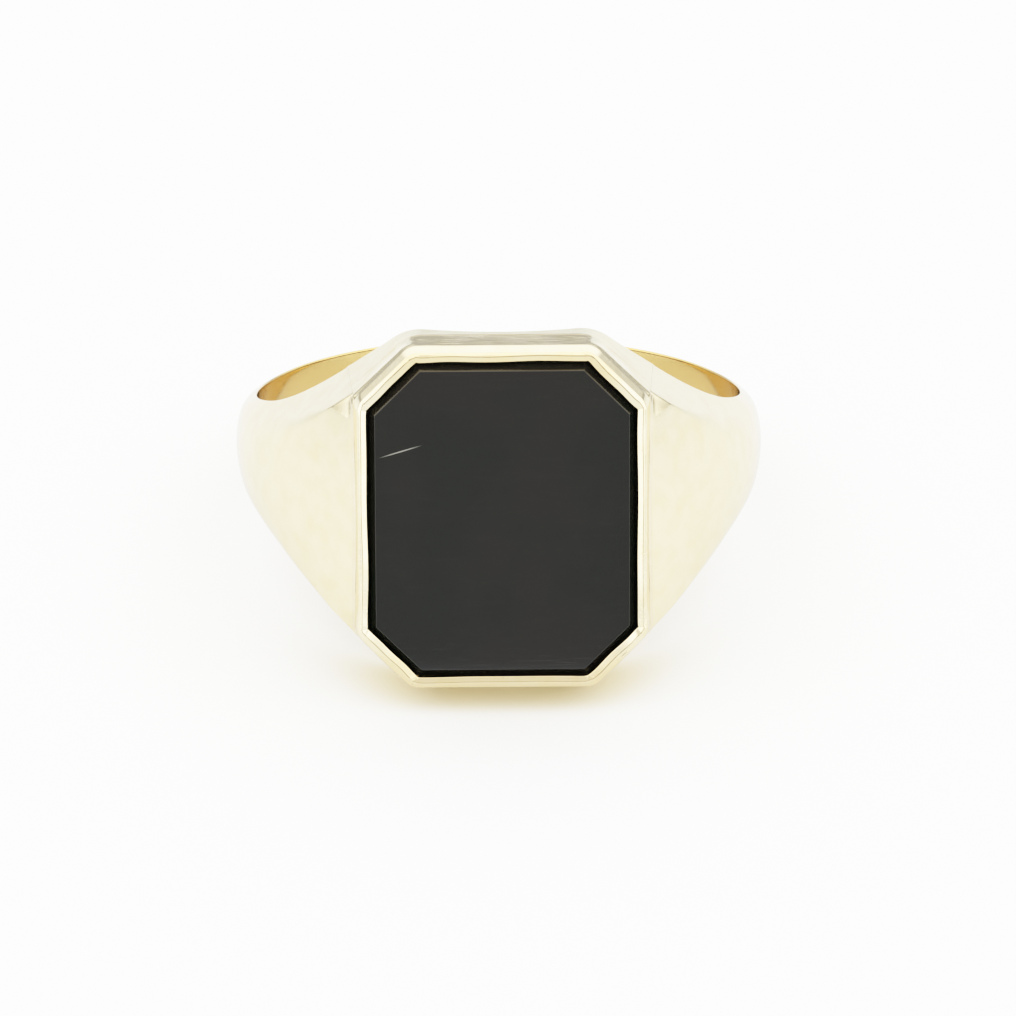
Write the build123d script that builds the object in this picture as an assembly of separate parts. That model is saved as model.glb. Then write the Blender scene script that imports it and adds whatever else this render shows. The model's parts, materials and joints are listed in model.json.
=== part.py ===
from build123d import *
import math
import os

# A gold signet ring with a flat octagonal onyx, put together as a goldsmith builds one: a hoop (the shank), two
# shoulders, an octagonal gallery under the stone, a thin collet whose lip is rubbed over the stone's bevel,
# a bearing wire that carries the stone, a film of setting cement, and the solder in each joint.
#
# Ring axes, used for the modelling: the finger goes along Y with the fingertip at +Y, the stone faces +Z,
# X runs across the finger, and the origin is the centre of the finger bore. A turn is an angle in degrees
# round the bore, 0 at the middle of the stone and positive towards +X.
# The finished pieces are then laid down on the plane z = 0, on their side, as the ring lies on a table.

# Size 56, which is the inside circumference in millimetres
inside_circumference = 56.0
bore_radius = inside_circumference / (2 * math.pi)

# Hoop: a D section with its flat side on the finger
hoop_outer_radius = 9.70
hoop_half_width = 1.40
hoop_edge_half_width = 1.15
crown_height = 0.28
hoop_starts_at = 120.0

# Shoulders: each side is filed to one flat plane, where
# half width = side_plane_offset - side_plane_taper * x - side_plane_draft * z
side_plane_offset = 10.22
side_plane_taper = 0.917
side_plane_draft = 0.085
side_plane_ends_at = 70.0
shoulder_rise = 2.40
shoulder_starts_at = 90.0
shoulder_top_at = 26.0

# Stone: a 12 x 10 mm octagonal tablet, as half sizes in x and y and the length cut off each corner.
# Every other octagon of the head is this one, moved in or out evenly.
stone = (5.00, 6.00, 1.70)
stone_table_level = 11.45
stone_girdle_level = 11.05
stone_back_level = 9.95
stone_bevel = 0.50

# Head: a wall round the stone that spreads a little towards the finger below the fold
wall_thickness = 0.30
head_draft = 0.056
head_edge_radius = 0.30
fold_level = 10.65
gallery_top_level = 9.55
gallery_ledge = 0.80

# Lip of the collet: above the fold it leans in, and it is rubbed over the stone's bevel
lip_top_level = 11.36
lip_outer_rim = 0.15
lip_inner_rim = 0.05
lip_cover = 0.16

# Bearing wire and setting cement under the edge of the stone
bearing_width = 0.70
cement_film = 0.05
cement_margin = 0.05

# Solder joints
solder_gap = 0.08
shank_joint_at = 78.0

# Turns of the cross-sections that the hoop and shoulders pass through
first_section = 20
fine_step = 8
fine_until = 100
wide_step = 16

# Cutters only have to be long enough
cutter_reach = 40.0
under_bore = 0.60
upright_share = 0.9


def on_ring(turn, radius, across):
    """The point at a turn round the bore, a radius from its axis and a distance along the finger."""
    angle = math.radians(turn)
    return Vector(radius * math.sin(angle), across, radius * math.cos(angle))


def ease(start_value, start_slope, end_value, span, share):
    """A cubic from a value with a slope, at share 0, to a level end value at share 1, a span further on."""
    from_start = (2 * share**3 - 3 * share**2 + 1) * start_value
    from_slope = (share**3 - 2 * share**2 + share) * span * start_slope
    return from_start + from_slope + (3 * share**2 - 2 * share**3) * end_value


def crown_radius(turn):
    """Outside radius along the ring's middle line: the hoop's, rising to the top of the shoulder."""
    rise = max(0.0, (shoulder_starts_at - turn) / (shoulder_starts_at - shoulder_top_at))
    return hoop_outer_radius + shoulder_rise * rise**2 * (1.5 - 0.5 * rise)


def filed_half_width(turn, radius):
    """Half width of the flat-filed sides at a turn and a radius."""
    point = on_ring(turn, radius, 0)
    return side_plane_offset - side_plane_taper * point.X - side_plane_draft * point.Z


def half_width(turn, radius, hoop_value):
    """Half width of the ring at a turn and a radius: the filed plane, easing into the hoop."""
    if turn <= side_plane_ends_at:
        return filed_half_width(turn, radius)
    if turn >= hoop_starts_at:
        return hoop_value
    start = filed_half_width(side_plane_ends_at, radius)
    slope = start - filed_half_width(side_plane_ends_at - 1, radius)
    span = hoop_starts_at - side_plane_ends_at
    return ease(start, slope, hoop_value, span, (turn - side_plane_ends_at) / span)


def section(turn):
    """Cross-section of the hoop and shoulders: flat inside, tapered sides, crowned outside."""
    crown = crown_radius(abs(turn))
    edge = crown - crown_height
    low = bore_radius - under_bore
    inner = half_width(abs(turn), bore_radius, hoop_half_width)
    outer = half_width(abs(turn), edge, hoop_edge_half_width)
    base = inner + (inner - outer) / (edge - bore_radius) * under_bore
    places = [(edge, -outer), (low, -base), (low, base), (edge, outer)]
    corners = [on_ring(turn, radius, across) for radius, across in places]
    flats = [Edge.make_line(a, b) for a, b in zip(corners, corners[1:])]
    crown_arc = Edge.make_three_point_arc(corners[3], on_ring(turn, crown, 0), corners[0])
    return Wire(flats + [crown_arc])


def octagon(outline, level):
    """A flat octagon at a level."""
    half_x, half_y, corner = outline
    right = [(half_x, corner - half_y), (half_x, half_y - corner)]
    top = [(half_x - corner, half_y), (corner - half_x, half_y)]
    opposite = [(-x, -y) for x, y in right + top]
    return make_face(Polyline([(x, y, level) for x, y in right + top + opposite], close=True))


def inset(outline, distance):
    """The octagon with all eight sides moved in by one distance."""
    half_x, half_y, corner = outline
    return (half_x - distance, half_y - distance, corner - (2 - math.sqrt(2)) * distance)


def stack(*levels):
    """The solid through octagons given as (distance inside the stone's outline, level), from the bottom up."""
    return loft([octagon(inset(stone, distance), level) for distance, level in levels], ruled=True)


def softened(solid):
    """An octagonal solid with its upright edges rounded."""
    uprights = [edge for edge in solid.edges() if abs(edge.tangent_at(0.5).Z) > upright_share]
    return fillet(uprights, head_edge_radius)


def octagon_ring(outer, inner, low, high):
    """A ring with upright walls between two distances inside the stone's outline and two levels."""
    return stack((outer, low), (outer, high)) - stack((inner, low), (inner, high))


def head_side(level):
    """How far inside the stone's outline the head's outside is, at a level below the fold."""
    return head_draft * (level - fold_level) - wall_thickness


def finger_bore():
    """The round hole that the finger goes through."""
    return Rot(X=90) * Cylinder(bore_radius, cutter_reach)


def slab(profile):
    """A long block along the finger: profile is its corners in X and Z."""
    face = make_face(Polyline([(x, -cutter_reach, z) for x, z in profile], close=True))
    return extrude(face, amount=2 * cutter_reach, dir=(0, 1, 0))


def sector(start_turn, end_turn):
    """Everything between two turns that are less than 90 degrees apart."""
    rim = [on_ring(turn, cutter_reach, 0) for turn in (start_turn, end_turn)]
    return slab([(0, 0)] + [(point.X, point.Z) for point in rim])


def between_head_walls(margin):
    """Everything between the planes of the head's two flat side walls, with a margin outside each."""
    low = stone[0] - head_side(0) + margin
    high = stone[0] - head_side(cutter_reach) + margin
    return slab([(-low, 0), (low, 0), (high, cutter_reach), (-high, cutter_reach)])


def make_ring_body():
    """Hoop and both shoulders in one piece, before they are parted."""
    half = list(range(first_section, fine_until, fine_step)) + list(range(fine_until, 180, wide_step))
    turns = half + [180] + [-turn for turn in reversed(half)]
    return Solid.make_loft([section(turn) for turn in turns]) - finger_bore()


def make_hoop_pieces():
    """Shank and shoulders, and the solder between them and against the head."""
    body = make_ring_body()
    joint_end = shank_joint_at + math.degrees(solder_gap / bore_radius)
    pieces = {"shank": body}
    shank_solder = []
    head_solder = []
    for side, name in ((-1, "shoulder_left"), (1, "shoulder_right")):
        pieces["shank"] -= sector(0, side * joint_end)
        shank_solder.append(body & sector(side * shank_joint_at, side * joint_end))
        shoulder = body & sector(0, side * shank_joint_at)
        pieces[name] = shoulder - between_head_walls(solder_gap)
        head_solder.append((shoulder & between_head_walls(solder_gap)) - between_head_walls(0))
    pieces["solder_shank_to_shoulders"] = Compound(shank_solder)
    pieces["solder_shoulders_to_head"] = Compound(head_solder)
    return pieces


def make_gallery():
    """The octagonal wall under the collet, open in the middle and curved below to the finger."""
    top = gallery_top_level - solder_gap
    walls = softened(stack((head_side(0), 0), (head_side(top), top)))
    return walls - stack((gallery_ledge, 0), (gallery_ledge, gallery_top_level)) - finger_bore()


def make_collet():
    """The strip round the stone: upright below the fold, then leaning in, with its lip over the bevel."""
    outer_foot = (head_side(gallery_top_level), gallery_top_level)
    outer_fold = (-wall_thickness, fold_level)
    outer = softened(stack(outer_foot, outer_fold, (-lip_outer_rim, lip_top_level)))
    lip_level = stone_girdle_level + lip_cover * (stone_table_level - stone_girdle_level) / stone_bevel
    girdle = [(0, gallery_top_level), (0, stone_girdle_level)]
    return outer - stack(*girdle, (lip_cover, lip_level), (-lip_inner_rim, lip_top_level))


def make_stone():
    """The onyx tablet: upright girdle, bevelled edge and flat table."""
    return stack((0, stone_back_level), (0, stone_girdle_level), (stone_bevel, stone_table_level))


def make_head_pieces():
    """Gallery, collet, and what holds the stone inside them."""
    cement_low = stone_back_level - cement_film
    joint_low = gallery_top_level - solder_gap
    joint = softened(stack((head_side(joint_low), joint_low), (head_side(gallery_top_level), gallery_top_level)))
    return {
        "head_gallery": make_gallery(),
        "solder_gallery_to_collet": joint - stack((bearing_width, joint_low), (bearing_width, gallery_top_level)),
        "bezel_collet": make_collet(),
        "bearing_wire": octagon_ring(0, bearing_width, gallery_top_level, cement_low),
        "setting_cement": octagon_ring(cement_margin, bearing_width - cement_margin, cement_low, stone_back_level),
        "onyx_tablet": make_stone(),
    }


def lay_down(pieces):
    """Tips the ring over until the foot of the head and the back of the hoop touch z = 0."""
    half_x, half_y, corner = inset(stone, -wall_thickness)
    foot_z = math.sqrt(bore_radius**2 - (half_x - corner) ** 2)
    foot_y = stone[1] - head_side(foot_z)
    lean = math.degrees(math.atan2(foot_y - hoop_half_width, foot_z + bore_radius))
    tipped = {name: Rot(X=90 - lean) * piece for name, piece in pieces.items()}
    boxes = [piece.bounding_box() for piece in tipped.values()]
    front = min(box.min.Y for box in boxes)
    back = max(box.max.Y for box in boxes)
    lift = -min(box.min.Z for box in boxes)
    print(f"lean {lean:.4f} degrees, bore centre at y {-(front + back) / 2:.4f}, z {lift:.4f}")
    return {name: Pos(0, -(front + back) / 2, lift) * piece for name, piece in tipped.items()}


os.makedirs("parts", exist_ok=True)
for name, piece in lay_down({**make_hoop_pieces(), **make_head_pieces()}).items():
    export_step(piece, f"parts/{name}.step")
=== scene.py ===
import json
import math

import bmesh
import bpy
import numpy as np
from mathutils import Matrix, Vector


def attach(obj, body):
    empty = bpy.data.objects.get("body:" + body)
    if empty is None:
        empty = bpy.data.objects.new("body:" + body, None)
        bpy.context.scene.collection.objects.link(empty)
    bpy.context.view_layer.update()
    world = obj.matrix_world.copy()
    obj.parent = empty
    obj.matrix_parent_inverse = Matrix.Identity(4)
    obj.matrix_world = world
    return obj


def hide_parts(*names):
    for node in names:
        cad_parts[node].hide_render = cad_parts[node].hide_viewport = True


# A 14 ct gold signet ring with a flat octagonal onyx, lying on its side on a white table.
# Shapes are worked out in the ring's own axes, in millimetres: x across the finger, y along it towards the
# fingertip, z the way the stone faces, from the centre of the finger bore. toRow puts them in the row frame.

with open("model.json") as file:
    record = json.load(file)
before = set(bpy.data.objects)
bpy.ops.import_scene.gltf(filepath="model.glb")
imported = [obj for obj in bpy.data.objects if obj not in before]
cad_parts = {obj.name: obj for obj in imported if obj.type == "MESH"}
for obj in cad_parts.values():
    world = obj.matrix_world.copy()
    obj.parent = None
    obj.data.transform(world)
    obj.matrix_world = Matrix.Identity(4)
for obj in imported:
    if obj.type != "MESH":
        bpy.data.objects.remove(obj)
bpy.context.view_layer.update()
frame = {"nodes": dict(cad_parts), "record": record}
mm = 0.001
mergeDistance = 3e-8

mounts = {mount["name"]: mount for mount in frame["record"]["mounts"]}
boreCentre = np.array(mounts["finger_bore"]["pos_m"])
boreRadius = mounts["finger_bore"]["dims"]["r_mm"]
fingerAxis = np.array(mounts["finger_bore"]["axis"])
faceAxis = np.array(mounts["stone_table"]["axis"])
ringAxes = np.stack([np.cross(fingerAxis, faceAxis), fingerAxis, faceAxis])


def toRow(points):  # bore centre plus x, y and z along the ring's axes
    return boreCentre + mm * (np.asarray(points, float) @ ringAxes)


def ringBox(node):  # lowest and highest corner of a CAD node in the ring's axes
    data = frame["nodes"][node].data
    corners = np.zeros(len(data.vertices) * 3)
    data.vertices.foreach_get("co", corners)
    inRing = ((corners.reshape(-1, 3) - boreCentre) / mm) @ ringAxes.T
    return inRing.min(0), inRing.max(0)


stoneLow, stoneHigh = ringBox("onyx_tablet")
wireLow, wireHigh = ringBox("bearing_wire")
galleryHigh = ringBox("head_gallery")[1]
print("frame read: bore radius", round(boreRadius, 3), "stone", (stoneHigh - stoneLow).round(2))


# Materials, whose nodes are added by one small function

def linear(hexColour):  # sRGB hex to the linear values that shaders take
    srgb = np.array([int(hexColour[i:i + 2], 16) for i in (1, 3, 5)]) / 255
    return tuple(np.where(srgb <= 0.04045, srgb / 12.92, ((srgb + 0.055) / 1.055) ** 2.4)) + (1.0,)


def add(tree, kind, settings=None, **inputs):
    # One node with its settings; each input is a value or another node's output socket.
    node = tree.nodes.new(kind)
    for name, value in (settings or {}).items():
        setattr(node, name, value)
    for name, value in inputs.items():
        key = int(name[1:]) if name[0] == "_" and name[1:].isdigit() else name.replace("_", " ")
        if isinstance(value, bpy.types.NodeSocket):
            tree.links.new(value, node.inputs[key])
        else:
            node.inputs[key].default_value = value
    return node


def newMaterial(name):
    material = bpy.data.materials.new(name)
    material.use_nodes = True
    tree = material.node_tree
    shader = tree.nodes["Principled BSDF"]
    place = add(tree, "ShaderNodeTexCoord").outputs["Object"]
    return material, tree, shader, place


def scratches(tree, place, turn, width, length, amount):
    # Long thin streaks: noise stretched along one direction, of which only the ridges are kept.
    turned = add(tree, "ShaderNodeMapping", Vector=place, Rotation=turn,
                 Scale=(1 / length, 1 / width, 1 / width))
    noise = add(tree, "ShaderNodeTexNoise", Vector=turned.outputs[0], Scale=1.0, Detail=1.0, Roughness=0.4)
    low = 1 - amount
    ridges = add(tree, "ShaderNodeMapRange", Value=noise.outputs["Fac"], From_Min=low, From_Max=low + 0.06)
    return ridges.outputs[0]


def pits(tree, place, spacing, size):
    # Small round dents on a few of the cells of a Voronoi pattern.
    cells = add(tree, "ShaderNodeTexVoronoi", Vector=place, Scale=1 / spacing)
    near = add(tree, "ShaderNodeMapRange", {"interpolation_type": "SMOOTHSTEP"},
               Value=cells.outputs["Distance"], From_Min=0.0, From_Max=size / spacing,
               To_Min=1.0, To_Max=0.0)
    lot = add(tree, "ShaderNodeSeparateColor", Color=cells.outputs["Color"])
    few = add(tree, "ShaderNodeMath", {"operation": "GREATER_THAN"}, _0=lot.outputs[0], _1=0.72)
    dents = add(tree, "ShaderNodeMath", {"operation": "MULTIPLY"}, _0=near.outputs[0], _1=few.outputs[0])
    return dents.outputs[0]


gold = {
    "colour": "#f6e7bf",        # 14 ct yellow: gold, silver and copper, paler than fine gold
    "wornColour": "#f1dfb0",
    "filmColour": "#dab974",    # painted shade: a deeper gold on the finger side, under the head and at the lip's ends
    "polish": 0.070,            # roughness of a tripoli and rouge finish
    "wear": 0.10,               # added roughness in the scratches
    "undulation": 0.006 * mm,   # how far hand filing leaves a face from flat
    "waveLength": 2.2 * mm,
    "scratchDepth": 0.0008 * mm,
    "pitSpacing": 1.3 * mm,
    "pitSize": 0.045 * mm,
}


def makeGold(name, colour, worn, polish):
    # Fabricated sheet and wire, filed and polished by hand: a soft mirror with a slow wobble, hairlines from
    # wear, and a few casting pits.
    material, tree, shader, place = newMaterial(name)
    slow = add(tree, "ShaderNodeTexNoise", Vector=place, Scale=1 / gold["waveLength"], Detail=1.0)
    patch = add(tree, "ShaderNodeTexNoise", Vector=place, Scale=1 / (0.7 * mm), Detail=3.0)
    first = scratches(tree, place, (0.3, 0.2, 0.5), 0.035 * mm, 1.9 * mm, 0.34)
    second = scratches(tree, place, (-0.6, 0.9, -0.7), 0.030 * mm, 1.4 * mm, 0.33)
    third = scratches(tree, place, (1.1, -0.4, 1.3), 0.040 * mm, 2.6 * mm, 0.32)
    some = add(tree, "ShaderNodeMath", {"operation": "MAXIMUM"}, _0=first, _1=second)
    allLines = add(tree, "ShaderNodeMath", {"operation": "MAXIMUM"}, _0=some.outputs[0], _1=third).outputs[0]
    dents = pits(tree, place, gold["pitSpacing"], gold["pitSize"])
    tone = add(tree, "ShaderNodeMapRange", Value=patch.outputs["Fac"], From_Min=0.35, From_Max=0.7)
    colourMix = add(tree, "ShaderNodeMix", {"data_type": "RGBA"}, _0=tone.outputs[0],
                    _6=linear(colour), _7=linear(worn))
    dirt = add(tree, "ShaderNodeMix", {"data_type": "RGBA"}, _0=dents,
               _6=colourMix.outputs[2], _7=linear("#6b5634"))
    # Painted shade: where a piece's attribute asks for it, the colour turns a deeper gold
    film = add(tree, "ShaderNodeAttribute", {"attribute_name": "film"}).outputs["Fac"]
    filmed = add(tree, "ShaderNodeMix", {"data_type": "RGBA"}, _0=film,
                 _6=dirt.outputs[2], _7=linear(gold["filmColour"]))
    tree.links.new(filmed.outputs[2], shader.inputs["Base Color"])
    soft = add(tree, "ShaderNodeMapRange", Value=patch.outputs["Fac"],
               To_Min=polish - 0.02, To_Max=polish + 0.05)
    rough = add(tree, "ShaderNodeMath", {"operation": "MULTIPLY_ADD"}, _0=allLines, _1=gold["wear"],
                _2=soft.outputs[0])
    tree.links.new(rough.outputs[0], shader.inputs["Roughness"])
    wobble = add(tree, "ShaderNodeBump", Height=slow.outputs["Fac"], Strength=1.0,
                 Distance=gold["undulation"])
    marks = add(tree, "ShaderNodeMath", {"operation": "MULTIPLY_ADD"}, _0=dents, _1=6.0, _2=allLines)
    worked = add(tree, "ShaderNodeBump", {"invert": True}, Height=marks.outputs[0], Strength=1.0,
                 Distance=gold["scratchDepth"], Normal=wobble.outputs[0])
    tree.links.new(worked.outputs[0], shader.inputs["Normal"])
    shader.inputs["Metallic"].default_value = 1.0
    return material


goldPolished = makeGold("gold14ctPolished", gold["colour"], gold["wornColour"], gold["polish"])
goldSolder = makeGold("goldSolder14ct", "#f4e4c2", "#ecd9b0", gold["polish"] + 0.03)

onyx = {
    "colour": "#0c0e0a",         # dyed chalcedony
    "warmColour": "#110f0c",     # where the dye is thinner
    "polish": 0.04,
    "scratchTone": "#77756c",
    "knockFrom": (-4.42, 2.36),  # one long scratch on the table, in the ring's x and y
    "knockTo": (-2.82, 2.84),
    "knockWidth": 0.028,
}


def makeOnyx():
    # Dyed chalcedony, sawn, lapped and polished: black glass with hairlines and specks from wear.
    material, tree, shader, place = newMaterial("onyxLapped")
    cloud = add(tree, "ShaderNodeTexNoise", Vector=place, Scale=1 / (3.0 * mm), Detail=4.0)
    tone = add(tree, "ShaderNodeMapRange", Value=cloud.outputs["Fac"], From_Min=0.4, From_Max=0.65)
    body = add(tree, "ShaderNodeMix", {"data_type": "RGBA"}, _0=tone.outputs[0],
               _6=linear(onyx["colour"]), _7=linear(onyx["warmColour"]))
    start, end = (toRow((*onyx[key], stoneHigh[2])) for key in ("knockFrom", "knockTo"))
    along = Vector(end - start).normalized()
    facing = Vector(faceAxis)
    turn = Matrix((along, facing.cross(along), facing)).transposed().to_euler()
    half = np.linalg.norm(end - start) / 2
    knock = add(tree, "ShaderNodeMapping", {"vector_type": "TEXTURE"}, Vector=place,
                Location=tuple((start + end) / 2), Rotation=turn, Scale=(half, onyx["knockWidth"] * mm, mm))
    reach = add(tree, "ShaderNodeVectorMath", {"operation": "LENGTH"}, _0=knock.outputs[0])
    hit = add(tree, "ShaderNodeMapRange", Value=reach.outputs["Value"], From_Min=0.5, From_Max=1.0,
              To_Min=1.0, To_Max=0.0).outputs[0]
    fine = scratches(tree, place, (0.5, 0.1, 0.3), 0.025 * mm, 1.6 * mm, 0.31)
    cross = scratches(tree, place, (-0.2, 0.7, 1.2), 0.025 * mm, 2.2 * mm, 0.31)
    hair = add(tree, "ShaderNodeMath", {"operation": "MAXIMUM"}, _0=fine, _1=cross).outputs[0]
    specks = pits(tree, place, 1.1 * mm, 0.035 * mm)
    faint = add(tree, "ShaderNodeMath", {"operation": "MULTIPLY"}, _0=hair, _1=0.02)
    strong = add(tree, "ShaderNodeMath", {"operation": "MULTIPLY_ADD"}, _0=specks, _1=0.5,
                 _2=faint.outputs[0])
    every = add(tree, "ShaderNodeMath", {"operation": "MAXIMUM"}, _0=strong.outputs[0], _1=hit)
    marked = add(tree, "ShaderNodeMix", {"data_type": "RGBA"}, _0=every.outputs[0], _6=body.outputs[2],
                 _7=linear(onyx["scratchTone"]))
    tree.links.new(marked.outputs[2], shader.inputs["Base Color"])
    rough = add(tree, "ShaderNodeMath", {"operation": "MULTIPLY_ADD"}, _0=every.outputs[0], _1=0.3,
                _2=onyx["polish"])
    tree.links.new(rough.outputs[0], shader.inputs["Roughness"])
    bump = add(tree, "ShaderNodeBump", {"invert": True}, Height=every.outputs[0], Strength=1.0,
               Distance=0.0015 * mm)
    tree.links.new(bump.outputs[0], shader.inputs["Normal"])
    shader.inputs["IOR"].default_value = 1.54
    return material


def makeCement():
    # Dark epoxy setting cement, pressed out and set: dull, brown-black and uneven.
    material, tree, shader, place = newMaterial("epoxyCement")
    lumps = add(tree, "ShaderNodeTexNoise", Vector=place, Scale=1 / (0.15 * mm), Detail=4.0)
    tone = add(tree, "ShaderNodeMix", {"data_type": "RGBA"}, _0=lumps.outputs["Fac"],
               _6=linear("#2a1a10"), _7=linear("#4a3320"))
    tree.links.new(tone.outputs[2], shader.inputs["Base Color"])
    bump = add(tree, "ShaderNodeBump", Height=lumps.outputs["Fac"], Strength=1.0, Distance=0.01 * mm)
    tree.links.new(bump.outputs[0], shader.inputs["Normal"])
    shader.inputs["Roughness"].default_value = 0.55
    return material


onyxLapped = makeOnyx()
epoxyCement = makeCement()
print("materials made")


# Grids into meshes

def makePiece(name, grid, material, node, film=None, sharpAngle=38):
    # The grid is rows x columns x 3 in ring millimetres. Columns go round and close. The first and last rows
    # either meet each other or have shrunk to a point, so merging doubles closes the surface.
    parts = []
    for part in grid if isinstance(grid, list) else [grid]:
        rows, columns = part.shape[:2]
        index = np.arange(rows * columns).reshape(rows, columns) + sum(len(p[0]) for p in parts)
        here, after = index[:-1], index[1:]
        quads = np.stack([here, np.roll(here, -1, 1), np.roll(after, -1, 1), after], -1).reshape(-1, 4)
        parts.append((toRow(part.reshape(-1, 3)), quads))
    mesh = bpy.data.meshes.new(name)
    places, quads = (np.concatenate([part[k] for part in parts]) for k in (0, 1))
    mesh.from_pydata(places.tolist(), [], quads.tolist())
    # The optional per-point value is painted shade, stored as a vertex attribute for the gold material
    if film is not None:
        layer = mesh.attributes.new("film", "FLOAT", "POINT")
        layer.data.foreach_set("value", np.broadcast_to(film, grid.shape[:2]).astype(np.float32).ravel())
    tidy = bmesh.new()
    tidy.from_mesh(mesh)
    bmesh.ops.remove_doubles(tidy, verts=tidy.verts, dist=mergeDistance)
    bmesh.ops.dissolve_degenerate(tidy, edges=tidy.edges, dist=mergeDistance)
    bmesh.ops.recalc_face_normals(tidy, faces=tidy.faces)
    openEdges = sum(not edge.is_manifold for edge in tidy.edges)
    tidy.to_mesh(mesh)
    tidy.free()
    mesh.shade_smooth()
    mesh.set_sharp_from_angle(angle=math.radians(sharpAngle))
    mesh.materials.append(material)
    piece = bpy.data.objects.new(name, mesh)
    bpy.context.scene.collection.objects.link(piece)
    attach(piece, "root")
    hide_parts(node)
    print("made", name, len(mesh.polygons), "faces,", openEdges, "open edges")
    return piece


def capped(grid):  # both ends closed with rings that shrink to the middle of the end row
    first, last = grid[:1].mean(1, keepdims=True), grid[-1:].mean(1, keepdims=True)
    shrink = np.array([0.0, 0.5, 1.0])[:, None, None]
    return np.concatenate([first + shrink * (grid[:1] - first), grid,
                           last + shrink[::-1] * (grid[-1:] - last)])


def roundedLine(corners, sizes, steps=7, closed=False):
    # Corners joined by straight lines; at each corner a parabola starts and ends one size away from it, with
    # a further point just beyond each end so that the faces beside it stay flat.
    corners = np.array(corners, float)
    arc = np.linspace(0, 1, steps)[:, None]
    line = []
    for k, size in enumerate(sizes):
        before, corner, after = corners[k - 1], corners[k], corners[(k + 1) % len(corners)]
        if size == 0:
            line.append(corner[None])
            continue
        start = corner + (before - corner) / np.linalg.norm(before - corner) * size
        end = corner + (after - corner) / np.linalg.norm(after - corner) * size
        line += [(start + 0.2 * (start - corner))[None],
                 (1 - arc) ** 2 * start + 2 * arc * (1 - arc) * corner + arc ** 2 * end,
                 (end + 0.2 * (end - corner))[None]]
    points = np.concatenate(line)
    return np.concatenate([points, points[:1]]) if closed else points


def refined(line, step):  # extra points on the long straight runs of a line, no further apart than step
    count = np.maximum(1, np.ceil(np.linalg.norm(np.diff(line, axis=0), axis=1) / step)).astype(int)
    start = np.repeat(np.arange(len(count)), count)
    share = np.concatenate([np.arange(n) / n for n in count])[:, None]
    return np.concatenate([line[start] * (1 - share) + line[start + 1] * share, line[-1:]])


# What the shoulders' filed sides and the head share

hoop = {"outerRadius": 9.70, "halfWidth": 1.40, "edgeHalfWidth": 1.15, "crown": 0.28, "startsAt": 120,
        "innerRound": 0.13, "gap": 0.08, "jointAt": 78}
shoulder = {
    "offset": 10.22, "taper": 0.917, "draft": 0.085, "planeEndsAt": 70,  # the flat filed side
    "nearHead": 60,
    "rise": 2.40, "riseStartsAt": 90, "topAt": 26,
    "cornerTurns": (33, 40, 52, 75, 110), "cornerSizes": (0.05, 0.30, 0.60, 0.45, 0.30),
    "notchAlong": 0.95, "notchAcross": 1.05, "notchDepth": 0.18, "notchEdge": 0.04,
    "filletHeight": 0.08, "filletWidth": 0.18,  # where the panel curls up to the collet
    "filletFades": 0.35, "filletLean": 0.187,
}


def smooth(value):
    value = np.clip(value, 0, 1)
    return value * value * (3 - 2 * value)


# The octagon that the whole head follows

octagon = {"cornerCut": 1.70, "sidePoints": 24, "cornerPoints": 11, "plainRadius": 0.30}
octagonTurns = np.arange(8) * math.pi / 4
cutSide = (stoneHigh[0] + stoneHigh[1] - octagon["cornerCut"]) / math.sqrt(2)
sideDistances = np.array([stoneHigh[0], cutSide, stoneHigh[1], cutSide] * 2)


def octagonWalk(distances, radius):
    # Eight straight sides at their distances from the middle, joined by arcs with one radius a corner.
    distances = np.broadcast_to(distances, radius.shape)
    here = distances - radius
    along = (np.roll(distances, -1, 1) - radius - here * math.cos(math.pi / 4)) / math.sin(math.pi / 4)
    normal = np.stack([np.cos(octagonTurns), np.sin(octagonTurns)], -1)
    tangent = np.stack([-np.sin(octagonTurns), np.cos(octagonTurns)], -1)
    sweep = octagonTurns[:, None] + np.linspace(0, math.pi / 4, octagon["cornerPoints"])
    circle = np.stack([np.cos(sweep), np.sin(sweep)], -1)
    centres = here[..., None] * normal + along[..., None] * tangent
    arcs = centres[:, :, None] + radius[..., None, None] * circle
    halfTurn = np.linspace(0, math.pi, octagon["sidePoints"] + 2)[1:-1, None]
    share = 0.5 - 0.5 * np.cos(halfTurn)  # closer together at the ends of a side
    start = np.roll(arcs[:, :, -1], 1, 1)[:, :, None]
    return np.concatenate([start + share * (arcs[:, :, :1] - start), arcs], 2).reshape(len(radius), -1, 2)


def octagonPath(outward, radius, cutPull=0.0):
    # The stone's outline with every side moved out: outward is one value a row, or one a row and path point.
    # Before that, cutPull moves the four cut corners in, one value a row.
    radius = np.asarray(radius, float)
    radius = np.repeat(radius[:, None], 8, 1) if radius.ndim == 1 else radius
    distances = sideDistances - np.reshape(cutPull, (-1, 1)) * (np.arange(8) % 2)
    outline = octagonWalk(distances, radius)
    oneFurther = octagonWalk(distances + 1, radius) - outline
    outward = np.asarray(outward, float)
    return outline + (outward if outward.ndim == 2 else outward[:, None])[..., None] * oneFurther


pathCount = 8 * (octagon["sidePoints"] + octagon["cornerPoints"])
atShoulder = np.isin(np.arange(8), [0, 3, 4, 7])  # the corners that the shoulders meet
blendIn = np.linspace(0, 1, octagon["cornerPoints"])
sideAndCut = [np.zeros(octagon["sidePoints"]), blendIn, np.ones(octagon["sidePoints"]), 1 - blendIn]
onCut = np.concatenate(sideAndCut * 4)  # 0 along a main side, 1 along a cut corner
plainOutline, plainFurther = (octagonPath([k], [octagon["plainRadius"]])[0] for k in (0.0, 1.0))
pathY = plainOutline[:, 1]


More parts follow.
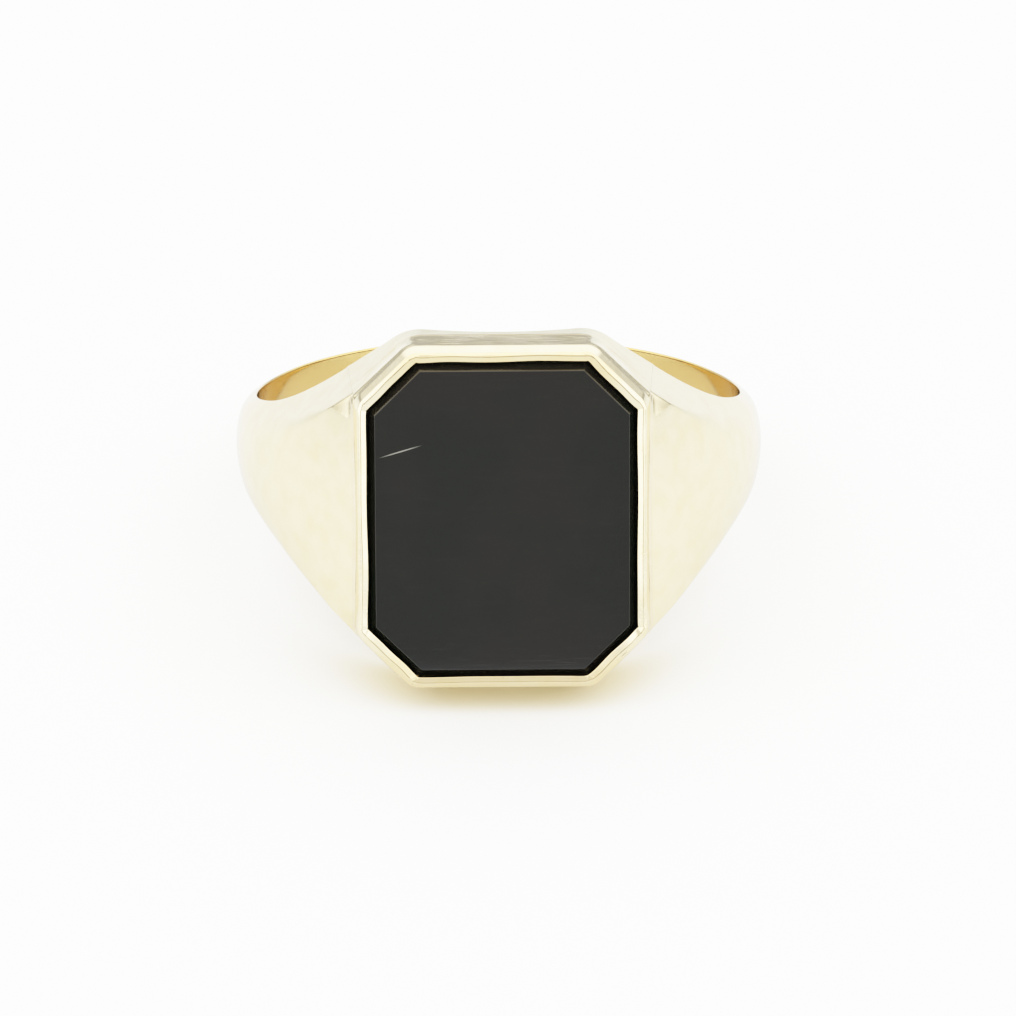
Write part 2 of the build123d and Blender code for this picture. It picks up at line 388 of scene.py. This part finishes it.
def cornerRadii(radius, level):
    # Rounded corners that open out below the fold. Where a shoulder meets the wall they are sharp there.
    below = np.clip(collet["foldLevel"] - np.asarray(level), 0, None)[:, None]
    opened = np.asarray(radius)[:, None] + collet["cornerSpread"] * below
    sharpened = smooth(below / collet["jointRadiusBy"])
    return np.where(atShoulder, opened + (collet["jointRadius"] - opened) * sharpened, opened)


def filedOutward(outward, level):
    # Below the fold the cut corners ease into the shoulders' filed plane, so that both are one face.
    oneFurther = np.abs(plainFurther - plainOutline)
    x, y = np.abs(plainOutline).T
    onPlane = (shoulder["offset"] - shoulder["taper"] * x - shoulder["draft"] * level - y) / (
        oneFurther[:, 1] + shoulder["taper"] * oneFurther[:, 0])
    ease = onCut * smooth((collet["foldLevel"] - level) / collet["filedBy"])
    return outward + ease * (onPlane - outward)


def wander(seed, waves, size):
    # A closed wavy line round the path: sines of whole wave numbers with seeded heights and phases.
    rng = np.random.default_rng(seed)
    count = np.arange(2, 2 + waves)[:, None]
    height = rng.normal(size=(waves, 1)) / np.sqrt(count)
    phase = 2 * math.pi * (count * np.arange(pathCount) / pathCount + rng.random((waves, 1)))
    return size * (height * np.sin(phase)).sum(0)


def headGrid(outward, level, radius, cutPull=0.0):
    # Each row is carried round the octagon, its own distance outward and at its own level.
    flat = octagonPath(outward, radius, cutPull)
    level = np.broadcast_to(level if np.ndim(level) == 2 else np.asarray(level)[:, None], flat.shape[:2])
    return np.concatenate([flat, level[..., None]], -1)


# Bezel collet: foot, wall, fold, the strip that leans in, the rubbed-over lip, and down the stone's side

collet = {
    "foot": 0.362, "footLevel": 9.55, "fold": 0.295, "foldLevel": 10.76,
    "rim": 0.157, "rimLevel": 11.29,         # where the leaning strip ends
    "ridge": 0.060, "ridgeLevel": 11.350,    # top of the lip
    "lipIn": -0.165, "lipInLevel": 11.298, "lipUnder": 11.10, "lipDepth": 0.09,
    "rounds": (0, 0.012, 0.11, 0.040, 0.045, 0.030, 0, 0),
    "highest": 11.355,
    "bulge": 0.09,                           # the lip stands out further on the side away from the fingertip
    "bulgeFrom": (0.05, 10.7, 3.0),          # outward, level and distance from the middle where that starts
    "bulgeOver": (0.10, 0.4, 2.5),
    "cutPull": (0.13, 0.08, 0.05),           # the lip, rim and fold are pressed in over the cut corners
    "pullLevel": 10.45, "pullOver": 0.3,
    "cornerRadius": 0.90, "cornerSpread": 0.35, "windowRadius": 0.05,
    "jointRadius": 0.03, "jointRadiusBy": 0.25,  # corners at the shoulders, and how far below the fold
    "filedBy": 0.9,                          # how far below the fold the cut corners reach the filed plane
    "rubbedLevel": 11.12, "rubbedOver": 0.05, "rubbedWithin": 0.10,
    "burnishing": 0.010,                     # how far the rubbed edge wanders
    "film": 0.45,                            # painted shade and reflection: a deeper gold along the lip at both ends of the stone
    "filmFrom": (11.2, 4.6), "filmOver": (0.08, 1.2),
}


def makeCollet():
    corners = [
        (0.0, collet["footLevel"]), (collet["foot"], collet["footLevel"]),
        (collet["fold"], collet["foldLevel"]), (collet["rim"], collet["rimLevel"]),
        (collet["ridge"], collet["ridgeLevel"]), (collet["lipIn"], collet["lipInLevel"]),
        (collet["lipIn"], collet["lipUnder"]), (0.0, collet["lipUnder"] - collet["lipDepth"])]
    line = refined(roundedLine(corners, collet["rounds"], closed=True), 0.06)
    distance, height = line[:, 0], line[:, 1]
    share = np.clip((distance - collet["lipIn"]) / (collet["fold"] - collet["lipIn"]), 0, 1)
    inside = (distance < 0.001) & (height < collet["lipUnder"] + 0.001)
    window = collet["windowRadius"]
    radius = np.where(inside, window, window + (collet["cornerRadius"] - window) * share)
    rubbed = np.clip((height - collet["rubbedLevel"]) / collet["rubbedOver"], 0, 1)
    rubbed = (rubbed * (distance < collet["rubbedWithin"]))[:, None]
    wall = np.where(line[:, :1] > 0.1, filedOutward(line[:, :1], line[:, 1:]), line[:, :1])
    outwardFrom, levelFrom, awayFrom = collet["bulgeFrom"]
    outwardOver, levelOver, awayOver = collet["bulgeOver"]
    stands = smooth((line[:, :1] - outwardFrom) / outwardOver) * smooth((line[:, 1:] - levelFrom) / levelOver)
    low = smooth((-pathY - awayFrom) / awayOver)
    pull = np.interp(distance, [collet["lipIn"], collet["rim"], collet["fold"]], collet["cutPull"])
    pull *= smooth((height - collet["pullLevel"]) / collet["pullOver"]) * ~inside
    outward = wall + rubbed * wander(4, 40, collet["burnishing"]) + collet["bulge"] * stands * low
    level = line[:, 1:] + rubbed * wander(9, 30, collet["burnishing"] * 0.35)
    grid = headGrid(outward, np.minimum(level, collet["highest"]), cornerRadii(radius, height), pull)
    # Painted shade and reflection: a deeper gold on the lip at the stone's two ends
    (filmLevel, filmY), (levelSpan, ySpan) = collet["filmFrom"], collet["filmOver"]
    onLip = smooth((line[:, 1:] - filmLevel) / levelSpan)
    film = collet["film"] * onLip * smooth((np.abs(pathY) - filmY) / ySpan)
    return makePiece("bezelCollet", grid, goldPolished, "bezel_collet", film)


makeCollet()

# Onyx tablet: back, girdle, bevel and table, closed to the middle on both sides

stone = {
    "tableInset": 0.465, "bevelFoot": 0.21, "bevelFootLevel": 10.98, "girdleLevel": 10.88,
    "edge": 0.009, "cornerRadius": 0.05,
    "backRing": 0.8, "tableRing": 1.2,  # how far in the flat middles of the back and the table start
}


def makeStone():
    back, top = stoneLow[2], stoneHigh[2]
    corners = [(-stone["backRing"], back), (0.0, back), (0.0, stone["girdleLevel"]),
               (-stone["bevelFoot"], stone["bevelFootLevel"]), (-stone["tableInset"], top),
               (-stone["tableRing"], top)]
    line = refined(roundedLine(corners, [0] + [stone["edge"]] * 4 + [0]), 0.2)
    pull = collet["cutPull"][0] * smooth((line[:, 1] - stone["girdleLevel"]) / 0.1)
    grid = headGrid(line[:, 0], line[:, 1], np.full(len(line), stone["cornerRadius"]), pull)
    shrink = np.linspace(0, 1, 9)[:, None, None]
    middle = np.array([1.0, 1.0, 0.0])

    def spread(row):  # rings from the middle out to a row, at the row's level
        return np.where(middle > 0, row * shrink, row)

    return makePiece("onyxTablet", np.concatenate([spread(grid[:1])[:-1], grid, spread(grid[-1:])[::-1][1:]]),
                     onyxLapped, "onyx_tablet")


makeStone()

# Head gallery: the wall under the collet. Its foot is cut to the finger bore.

gallery = {
    "draft": 0.056, "foldLevel": 10.65, "wall": 0.30,
    "tuck": 0.012,           # below the joint the flat walls are filed back in by this much per millimetre
    "ledge": 0.80, "innerRadius": 0.12,
    "footRound": 0.16,       # polished-over lower edge
    "jointRound": 0.01,      # the same where the shoulders are soldered on
    "freeFrom": 4.65, "freeOver": 1.3,
}


def makeGallery():
    # The loop goes from the top of the outer wall down, round the foot, up the inner wall and back. The foot
    # is where the wall meets the bore, at level sqrt(bore radius squared - x squared), found by repetition.
    top = galleryHigh[2]
    down = np.linspace(0, 1, 22)[:, None]
    footRadius = cornerRadii([collet["cornerRadius"]], [8.4])
    innerRadius = np.full((1, 8), gallery["innerRadius"])
    # The two sides that the shoulders are soldered to stay flat and keep their lower edge square.
    free = smooth((np.abs(octagonPath([gallery["wall"]], footRadius)[0, :, 1]) - gallery["freeFrom"])
                  / gallery["freeOver"])
    size = gallery["jointRound"] + (gallery["footRound"] - gallery["jointRound"]) * free

    def outwardAt(level):
        below = np.clip(top - 0.02 - level, 0, None)
        wall = gallery["wall"] + gallery["draft"] * (gallery["foldLevel"] - level)
        return filedOutward(wall - (gallery["draft"] + gallery["tuck"]) * below * free, level)

    def boreLevel(x):
        return np.sqrt(boreRadius ** 2 - x ** 2)

    outline = octagonPath([0.35], footRadius)[0]
    inner = octagonPath([-gallery["ledge"]], innerRadius)[0]
    for _ in range(4):
        foot = boreLevel(outline[:, 0])
        outline = octagonPath(outwardAt(foot[None]), footRadius)[0]
    innerFoot = boreLevel(inner[:, 0])
    outerLevel = top + (foot + size - top) * down
    radii = cornerRadii(np.full(len(down), collet["cornerRadius"]), outerLevel.mean(1))
    outer = headGrid(outwardAt(outerLevel), outerLevel, radii)
    corner = np.concatenate([outline, foot[:, None]], -1)
    toInner = np.concatenate([inner, innerFoot[:, None]], -1) - corner
    after = corner + toInner * (size[:, None] / np.linalg.norm(toInner, axis=-1, keepdims=True))
    after[:, 2] = boreLevel(after[:, 0])
    share = np.linspace(0, 1, 8)[:, None, None]
    rounding = (1 - share) ** 2 * outer[-1:] + 2 * share * (1 - share) * corner + share ** 2 * after
    across = np.linspace(0, 1, 7)[1:, None, None]
    under = after + across * (np.concatenate([inner, innerFoot[:, None]], -1) - after)
    under[..., 2] = boreLevel(under[..., 0])
    up = np.linspace(0, 1, 8)[1:, None, None]
    inside = under[-1:] + up * (np.concatenate([inner, np.full((len(inner), 1), top)], -1) - under[-1:])
    ledge = inside[-1:] + across * (outer[:1] - inside[-1:])
    grid = np.concatenate([outer, rounding[1:], under, inside, ledge])
    # Painted shade: a deeper gold from the foot's rounding round the underside and up the inner wall
    film = np.clip((np.arange(len(grid)) - len(outer)) / len(rounding), 0, 1)[:, None]
    return makePiece("headGallery", grid, goldPolished, "head_gallery", film)


makeGallery()

# What holds the stone from below: bearing wire, cement and solder, plain bands carried round the octagon

bands = {
    "bearingWire": (
        [(-0.70, wireLow[2]), (0.0, wireLow[2]), (0.0, wireHigh[2]), (-0.70, wireHigh[2])],
        0.05, goldPolished, "gold", "bearing_wire"),
    "settingCement": (
        [(-0.65, wireHigh[2]), (-0.05, wireHigh[2]), (-0.05, stoneLow[2]), (-0.65, stoneLow[2])],
        0.012, epoxyCement, "cement", "setting_cement"),
    "solderGalleryToCollet": (
        [(-0.70, galleryHigh[2]), (0.3655, galleryHigh[2]),
         (0.361, collet["footLevel"]), (-0.70, collet["footLevel"])],
        0.008, goldSolder, "solder", "solder_gallery_to_collet"),
}
clearOfFold = 20  # a level above the fold, where corners don't open out
for bandName, (corners, size, material, slotName, nodeName) in bands.items():
    line = refined(roundedLine(corners, [size] * 4, closed=True), 0.12)
    onWall = line[:, 0] > 0.1
    radius = np.where(onWall, collet["cornerRadius"], 0.10)
    radius = cornerRadii(radius, np.where(onWall, line[:, 1], clearOfFold))
    outward = np.where(onWall[:, None], filedOutward(line[:, :1], line[:, 1:]), line[:, :1])
    makePiece(bandName, headGrid(outward, line[:, 1], radius), material, nodeName)

# Hoop and shoulders

def crownRadius(turn):  # the hoop's outside, rising to the shoulder's top as rise^2 (3 - rise) / 2
    start = shoulder["riseStartsAt"]
    rise = np.clip((start - turn) / (start - shoulder["topAt"]), 0, None)
    return hoop["outerRadius"] + shoulder["rise"] * rise ** 2 * (1.5 - 0.5 * rise)


def filedWidth(turn, radius):  # the side plane: offset - taper x - draft z
    angle = np.radians(turn)
    return shoulder["offset"] - radius * (
        shoulder["taper"] * np.sin(angle) + shoulder["draft"] * np.cos(angle))


def halfWidth(turn, radius, hoopValue):  # the side plane, easing into the hoop along a cubic
    ends = shoulder["planeEndsAt"]
    span = hoop["startsAt"] - ends
    share = np.clip((turn - ends) / span, 0, 1)
    start = filedWidth(ends, radius)
    slope = start - filedWidth(ends - 1, radius)
    eased = ((2 * share ** 3 - 3 * share ** 2 + 1) * start
             + (share ** 3 - 2 * share ** 2 + share) * span * slope
             + (3 * share ** 2 - 2 * share ** 3) * hoopValue)
    return np.where(turn <= ends, filedWidth(turn, radius), eased)


def steps(kind, count, power=1.0):  # a stretch of the section, as its number plus a share
    return kind + (np.arange(count) / count) ** power


panelSteps = 5 - steps(0, 44, 1.5)[::-1][:-1]
halfSection = np.concatenate([steps(0, 8), steps(1, 7), steps(2, 14), steps(3, 9), panelSteps, [5 - 1e-9]])
sectionSigns = np.concatenate([np.ones(len(halfSection)), -np.ones(len(halfSection) - 2)])
sectionShares = np.concatenate([halfSection, halfSection[-2:0:-1]])


def headSide(level):  # how far the head's side wall is from the middle at a level
    return stoneHigh[0] + gallery["wall"] + gallery["draft"] * (gallery["foldLevel"] - level)


def sectionPoint(turn):
    # Distance along the finger and radius of each section point at its own turn. Half a section is the flat
    # inside, a rounded inner corner, the tapered side, a rounded panel corner and the crowned panel.
    kind, t = np.floor(sectionShares), sectionShares % 1
    outside = crownRadius(turn)
    inner = halfWidth(turn, boreRadius, hoop["halfWidth"])
    outer = halfWidth(turn, outside - hoop["crown"], hoop["edgeHalfWidth"])
    angle = np.radians(turn)
    fromHead = outside * np.sin(angle) - headSide(outside * np.cos(angle))
    along = np.where(turn < shoulder["nearHead"], 1 - fromHead / shoulder["notchAlong"], 0)

    def filedAway(inward):  # by the head the panel's corner is filed away to one small facet
        past = np.clip(along - inward / shoulder["notchAcross"], 0, None)
        edge = shoulder["notchEdge"]
        return shoulder["notchDepth"] * (past - edge * (1 - np.exp(-past / edge)))

    size = hoop["innerRound"]
    cornerSize = np.interp(turn, shoulder["cornerTurns"], shoulder["cornerSizes"])
    length = np.hypot(outer - inner, outside - hoop["crown"] - boreRadius)
    sideY, sideR = (outer - inner) / length, (outside - hoop["crown"] - boreRadius) / length
    edgeY = outer - cornerSize
    edgeR = outside - hoop["crown"] * (edgeY / outer) ** 2 - filedAway(cornerSize)
    slope = -2 * hoop["crown"] * edgeY / outer ** 2
    reach = -((edgeY - inner) * sideR - (edgeR - boreRadius) * sideY) / (sideR - slope * sideY)
    cornerY, cornerR = edgeY + reach, edgeR + reach * slope
    sideEndY, sideEndR = cornerY - sideY * cornerSize, cornerR - sideR * cornerSize
    startY, startR = inner + sideY * size, boreRadius + sideR * size

    def bend(a, b, c):
        return (1 - t) ** 2 * a + 2 * t * (1 - t) * b + t ** 2 * c

    panelY = (1 - t) * edgeY
    kinds = [kind == k for k in range(4)]
    y = np.select(kinds, [t * (inner - size), bend(inner - size, inner, startY),
                          startY + t * (sideEndY - startY), bend(sideEndY, cornerY, edgeY)], panelY)
    r = np.select(kinds, [boreRadius + 0 * t * inner, bend(boreRadius, boreRadius, startR),
                          startR + t * (sideEndR - startR), bend(sideEndR, cornerR, edgeR)],
                  outside - hoop["crown"] * (panelY / outer) ** 2 - filedAway(outer - panelY))
    return y, r, outer


def wallTurn(radius, gap):
    # The turn at which a radius meets the head's side wall: r sin(turn) + draft r cos(turn) = wall at
    # level 0. Above the fold the wall leans in with the collet's strip.
    draft = gallery["draft"]
    wall = stoneHigh[0] + gallery["wall"] + gap + draft * gallery["foldLevel"]
    turn = np.arcsin(wall / (radius * math.hypot(1, draft))) - math.atan(draft)
    lean = (collet["fold"] - collet["rim"]) / (collet["rimLevel"] - collet["foldLevel"])
    height = radius * np.cos(turn)
    return np.degrees(turn - lean * np.clip(height - collet["foldLevel"], 0, None) / height)


def ringGrid(startOf, endOf, shares):
    # Rows run from one end surface to the other; each point's turn is between them at its own radius, found
    # by repetition because the radius depends on the turn.
    r = np.full((len(shares), len(sectionShares)), boreRadius + 1.0)
    for _ in range(12):
        start, end = startOf(r), endOf(r)
        turn = start + shares[:, None] * (end - start)
        y, r, outer = sectionPoint(np.minimum(turn, 360 - turn))
    angle = np.radians(turn)
    x, z = r * np.sin(angle), r * np.cos(angle)
    # Along the head the panel curls up in a small fillet.
    near = (sectionShares >= 3) & (turn < shoulder["nearHead"])
    curl = np.clip(1 - (x - headSide(z)) / shoulder["filletWidth"], 0, 1)
    lift = shoulder["filletHeight"] * curl ** 2 * near
    lift = lift * smooth((outer - y) / shoulder["filletFades"])
    x, z = x - shoulder["filletLean"] * lift, z + lift
    return np.stack([x, y * sectionSigns, z], -1)


def headWall(gap):
    return lambda r: wallTurn(r, gap)


def radial(turn):
    return lambda r: np.full_like(r, turn)


# Painted shade: a deeper gold on the finger side of the section, inside the hoop
borePaintedShade = np.where(sectionShares < 1.6, 1.0, 0.0)  # the finger side of the section
jointEnd = hoop["jointAt"] + math.degrees(hoop["gap"] / boreRadius)
shoulderRows = np.linspace(0, 1, 150) ** 1.35
shoulderGrid = capped(ringGrid(headWall(hoop["gap"]), radial(hoop["jointAt"]), shoulderRows))
headJoint = capped(ringGrid(headWall(0.0), headWall(hoop["gap"]), np.linspace(0, 1, 4)))
shankJoint = capped(ringGrid(radial(hoop["jointAt"]), radial(jointEnd), np.linspace(0, 1, 4)))
flip = np.array([-1.0, 1.0, 1.0])
makePiece("shoulderRight", shoulderGrid, goldPolished, "shoulder_right", borePaintedShade)
makePiece("shoulderLeft", shoulderGrid * flip, goldPolished, "shoulder_left", borePaintedShade)
makePiece("solderShouldersToHead", [headJoint, headJoint * flip], goldSolder,
          "solder_shoulders_to_head")
makePiece("solderShankToShoulders", [shankJoint, shankJoint * flip], goldSolder,
          "solder_shank_to_shoulders")
shankGrid = capped(ringGrid(radial(jointEnd), radial(360 - jointEnd), np.linspace(0, 1, 220)))
makePiece("hoopShank", shankGrid, goldPolished, "shank", borePaintedShade)
print("pieces made")


# Table, light and camera

studio = {
    "sheetColour": "#f5f5f4", "sheetRadius": 0.26, "sheetCentre": 0.13,
    "dim": 0.44, "slot": 0.38,  # the tent's brightness at the horizon, behind and in front
    "back": 1.85, "side": 2.1, "front": 1.0, "top": 2.2,
    "shadeReach": 9 * mm,
}


def makeFloor():
    # A round white sheet, mostly behind the ring: rings of a disc at the height of the table.
    turns = np.linspace(0, 2 * math.pi, 96, endpoint=False)
    radii = np.array([0.0, 0.01, 0.04, 0.12, studio["sheetRadius"]])[:, None]
    across = radii * np.cos(turns)
    grid = np.stack([across, radii * np.sin(turns) + studio["sheetCentre"], np.zeros(across.shape)], -1)
    index = np.arange(across.size).reshape(across.shape)
    quads = np.stack([index[:-1], index[1:], np.roll(index[1:], -1, 1), np.roll(index[:-1], -1, 1)], -1)
    mesh = bpy.data.meshes.new("whiteSheet")
    mesh.from_pydata(grid.reshape(-1, 3).tolist(), [], quads.reshape(-1, 4).tolist())
    material, tree, shader, place = newMaterial("whitePaper")
    grain = add(tree, "ShaderNodeTexNoise", Vector=place, Scale=1 / (0.25 * mm), Detail=3.0)
    tone = add(tree, "ShaderNodeMix", {"data_type": "RGBA"}, _0=grain.outputs["Fac"],
               _6=linear(studio["sheetColour"]), _7=linear("#f3f3f1"))
    # Painted shadow and painted glow: close to the ring the paper is darkened and turned warm gold, standing
    # in for its contact shadow and the light the gold throws down
    close = add(tree, "ShaderNodeAmbientOcclusion", Distance=studio["shadeReach"])
    paintedShadowAndGlow = add(tree, "ShaderNodeValToRGB", Fac=close.outputs["AO"])
    paintedShadowAndGlow.color_ramp.elements[0].color = (0.91, 0.77, 0.43, 1)
    paintedShadowAndGlow.color_ramp.elements[1].color = (1.0, 1.0, 1.0, 1)
    paintedShadowAndGlow.color_ramp.elements.new(0.35).color = (0.88, 0.80, 0.62, 1)
    paintedShadowAndGlow.color_ramp.elements.new(0.62).color = (0.93, 0.93, 0.905, 1)
    paperWithPaintedShadow = add(tree, "ShaderNodeMix", {"data_type": "RGBA", "blend_type": "MULTIPLY"}, _0=1.0,
               _6=tone.outputs[2], _7=paintedShadowAndGlow.outputs[0])
    # Painted shade: as seen in reflections and bounced light, the paper gets darker and cooler further out
    far = add(tree, "ShaderNodeVectorMath", {"operation": "LENGTH"}, _0=place).outputs["Value"]
    pool = add(tree, "ShaderNodeMapRange", {"interpolation_type": "SMOOTHSTEP"}, Value=far,
               From_Min=0.02, From_Max=0.12)
    shade = add(tree, "ShaderNodeMix", {"data_type": "RGBA"}, _0=pool.outputs[0],
                _6=(0.68, 0.69, 0.69, 1), _7=(0.50, 0.54, 0.57, 1))
    # Lit and shaded copies: the camera sees the white paper with its painted shadow, everything else sees the
    # dimmer painted paper
    seen = add(tree, "ShaderNodeLightPath").outputs["Is Camera Ray"]
    paper = add(tree, "ShaderNodeMix", {"data_type": "RGBA"}, _0=seen,
                _6=shade.outputs[2], _7=paperWithPaintedShadow.outputs[2])
    tree.links.new(paper.outputs[2], shader.inputs["Base Color"])
    shader.inputs["Roughness"].default_value = 0.7
    shader.inputs["Specular IOR Level"].default_value = 0.2
    mesh.materials.append(material)
    sheet = bpy.data.objects.new("whiteSheet", mesh)
    bpy.context.scene.collection.objects.link(sheet)


def makeLight():
    # A light tent: dim at the horizon behind and straight in front, bright at the sides and above.
    world = bpy.data.worlds.new("lightTent")
    bpy.context.scene.world = world
    world.use_nodes = True
    tree = world.node_tree
    shader = tree.nodes["Background"]
    way = add(tree, "ShaderNodeSeparateXYZ", Vector=add(tree, "ShaderNodeTexCoord").outputs["Generated"])
    x, y, z = (way.outputs[k] for k in range(3))

    def ramp(value, start, end, low, high):
        return add(tree, "ShaderNodeMapRange", {"interpolation_type": "SMOOTHSTEP"}, Value=value,
                   From_Min=start, From_Max=end, To_Min=low, To_Max=high).outputs[0]

    aside = add(tree, "ShaderNodeMath", {"operation": "ABSOLUTE"}, _0=x).outputs[0]
    back = ramp(z, 0.07, 0.30, studio["dim"], studio["back"])
    slot = ramp(z, 0.10, 0.42, studio["slot"], studio["front"])
    toSide = ramp(aside, 0.16, 0.34, 0.0, 1.0)
    front = add(tree, "ShaderNodeMix", _0=toSide, _2=slot, _3=studio["side"]).outputs[0]
    walls = add(tree, "ShaderNodeMix", _0=ramp(y, -0.15, 0.25, 0.0, 1.0), _2=front, _3=back).outputs[0]
    tent = add(tree, "ShaderNodeMix", _0=ramp(z, 0.55, 0.9, 0.0, 1.0), _2=walls, _3=studio["top"]).outputs[0]
    tree.links.new(tent, shader.inputs["Strength"])
    cool = add(tree, "ShaderNodeMix", {"data_type": "RGBA"}, _0=ramp(y, -0.3, 0.6, 0.0, 1.0),
               _6=(1.0, 1.0, 1.0, 1), _7=(0.98, 1.0, 1.02, 1))
    tree.links.new(cool.outputs[2], shader.inputs["Color"])


view = {
    "elevation": 32.4, "azimuth": -0.8, "distance": 0.300, "lens": 287.0,
    "right": 0.35 * mm, "up": -2.69 * mm,  # where it looks, from the bore's centre
}


def makeCamera():
    elevation, azimuth = math.radians(view["elevation"]), math.radians(view["azimuth"])
    back = Vector((math.sin(azimuth) * math.cos(elevation), -math.cos(azimuth) * math.cos(elevation),
                   math.sin(elevation)))
    right = Vector((math.cos(azimuth), math.sin(azimuth), 0))
    up = back.cross(right)
    camera = bpy.data.objects.new("camera", bpy.data.cameras.new("camera"))
    camera.data.lens = view["lens"]
    camera.data.sensor_width = 36
    camera.data.clip_start, camera.data.clip_end = 0.01, 10
    place = Vector(boreCentre) + right * view["right"] + up * view["up"] + back * view["distance"]
    camera.matrix_world = Matrix.Translation(place) @ Matrix((right, up, back)).transposed().to_4x4()
    bpy.context.scene.collection.objects.link(camera)
    bpy.context.scene.camera = camera


def setFilm():
    # A camera's response, which rolls the highlights off: 1 - exp(-(1.57 light + 0.34 light^2)), for light
    # from 0 to 2.
    settings = bpy.context.scene.view_settings
    settings.view_transform = "Standard"
    settings.use_curve_mapping = True
    mapping = settings.curve_mapping
    mapping.white_level = (2.0, 2.0, 2.0)
    curve = mapping.curves[3]
    for share in (0.03, 0.07, 0.13, 0.2, 0.3, 0.4, 0.52, 0.65, 0.8, 1.0):
        response = 1 - math.exp(-(1.57 * 2 * share + 0.34 * 4 * share ** 2))
        if share < 1:
            curve.points.new(share, response)
        else:
            curve.points[-1].location = (1.0, response)
    mapping.update()


makeFloor()
makeLight()
makeCamera()
setFilm()
print("stage ready")
